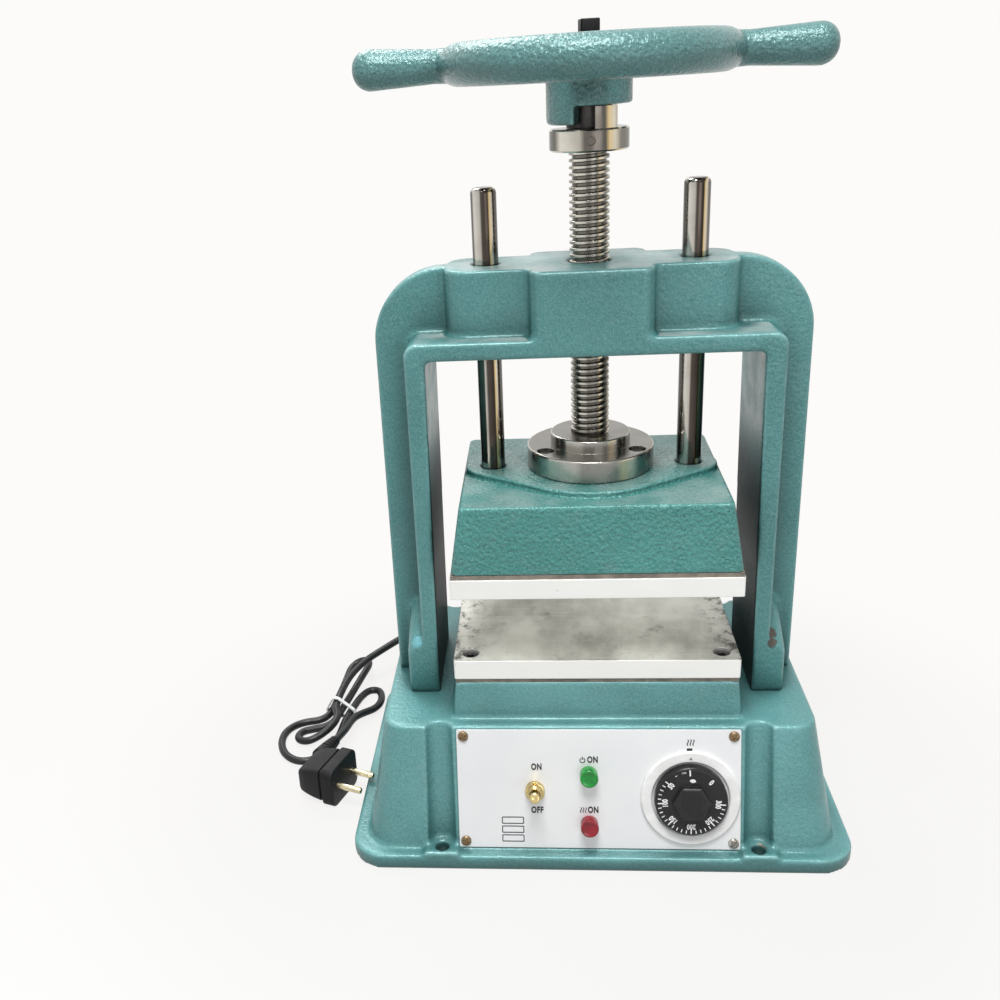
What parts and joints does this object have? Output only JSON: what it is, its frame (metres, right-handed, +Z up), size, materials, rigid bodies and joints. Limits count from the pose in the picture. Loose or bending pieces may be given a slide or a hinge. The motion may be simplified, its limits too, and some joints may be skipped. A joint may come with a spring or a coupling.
{
  "type": "jewelry mold vulcanizer",
  "caption": "Bench press with two heated platens, an arch frame, a screw with a handwheel and a control panel, for curing rubber jewelry molds.",
  "frame": {"origin": "on the bench, under the axis of the press screw and in the middle of the base's underside", "axes": "+Z up along the press screw, +X to the user's right, +Y to the back, the control panel faces -Y"},
  "size_m": [0.4113, 0.2856, 0.5151],
  "materials": {
    "cast_paint": "hammered teal enamel on cast iron",
    "bright_steel": "turned, bright",
    "chrome_rod": "ground and chromed",
    "dark_steel": "black oxide",
    "plain_steel": "zinc plated",
    "bronze": "machined bronze",
    "platen_aluminium": "milled, stained by use",
    "heater": "sheathed flat heater",
    "insulation": "mineral fibre board",
    "panel_sheet": "silver white lacquer",
    "white_plastic": "smooth",
    "black_plastic": "smooth",
    "inner_plastic": "moulded phenolic",
    "brass": "lacquered brass",
    "green_lens": "clear moulded lens",
    "red_lens": "clear moulded lens",
    "cord_rubber": "smooth black jacket",
    "plug_rubber": "moulded black",
    "tie_plastic": "thin white band"
  },
  "bodies": {
    "base": {"base_casting": "cast_paint", "bottom_cover": "plain_steel", "cover_screws": "plain_steel", "arch_frame": "cast_paint", "arch_bolts": "plain_steel", "screw_nut": "bronze", "guide_bush_left": "bronze", "guide_bush_right": "bronze", "insulation_lower": "insulation", "lower_platen": "platen_aluminium", "heater_lower": "heater", "platen_screws_lower": "dark_steel", "control_panel": "panel_sheet", "panel_screws": "plain_steel", "switch_body": "brass", "switch_nut": "brass", "lamp_body_power": "inner_plastic", "lamp_lens_power": "green_lens", "lamp_body_heat": "inner_plastic", "lamp_lens_heat": "red_lens", "dial_bezel": "white_plastic", "thermostat_body": "inner_plastic", "terminal_block": "inner_plastic", "cord_gland": "plug_rubber", "lead_stretch": "cord_rubber", "lead_hank": "cord_rubber", "lead_tie": "tie_plastic", "plug_body": "plug_rubber", "plug_pins": "brass"},
    "ram": {"ram_head": "cast_paint", "thrust_flange": "bright_steel", "flange_screws": "dark_steel", "thrust_race_lower": "bright_steel", "thrust_balls": "bright_steel", "guide_rod_left": "chrome_rod", "guide_rod_right": "chrome_rod", "insulation_upper": "insulation", "upper_platen": "platen_aluminium", "heater_upper": "heater", "platen_screws_upper": "dark_steel"},
    "screw": {"press_screw": "bright_steel", "thrust_race_upper": "bright_steel", "dog_collar": "bright_steel", "collar_pin": "plain_steel", "wheel_washer": "dark_steel", "wheel_bolt": "dark_steel"},
    "wheel": {"handwheel": "cast_paint", "handle_left": "cast_paint", "handle_right": "cast_paint", "hub_bush": "bronze"},
    "lever": {"switch_lever": "brass"},
    "dial": {"dial_knob": "black_plastic", "dial_shaft": "bright_steel"}
  },
  "joints": [
    {"name": "ram_slide", "type": "slide", "parent": "base", "child": "ram", "axis": [0, 0, 1], "range_m": [-0.0445, 0.058]},
    {"name": "screw_turn", "type": "hinge", "parent": "ram", "child": "screw", "pos_m": [0, 0, 0.35], "axis": [0, 0, 1], "range_deg": [-4006, 5221]},
    {"name": "wheel_turn", "type": "hinge", "parent": "screw", "child": "wheel", "pos_m": [0, 0, 0.485], "axis": [0, 0, 1], "range_deg": [-159, 29.5]},
    {"name": "switch_flip", "type": "hinge", "parent": "base", "child": "lever", "pos_m": [-0.0407, -0.09781, 0.05261], "axis": [1, 0, 0], "range_deg": [0, 26]},
    {"name": "dial_turn", "type": "hinge", "parent": "base", "child": "dial", "pos_m": [0.0593, -0.09431, 0.0473], "axis": [0, 0.9748, -0.2231], "range_deg": [0, 300]}
  ],
  "couplings": [
    {"joint": "screw_turn", "follows": "ram_slide", "rad_per_m": 1570.8}
  ]
}
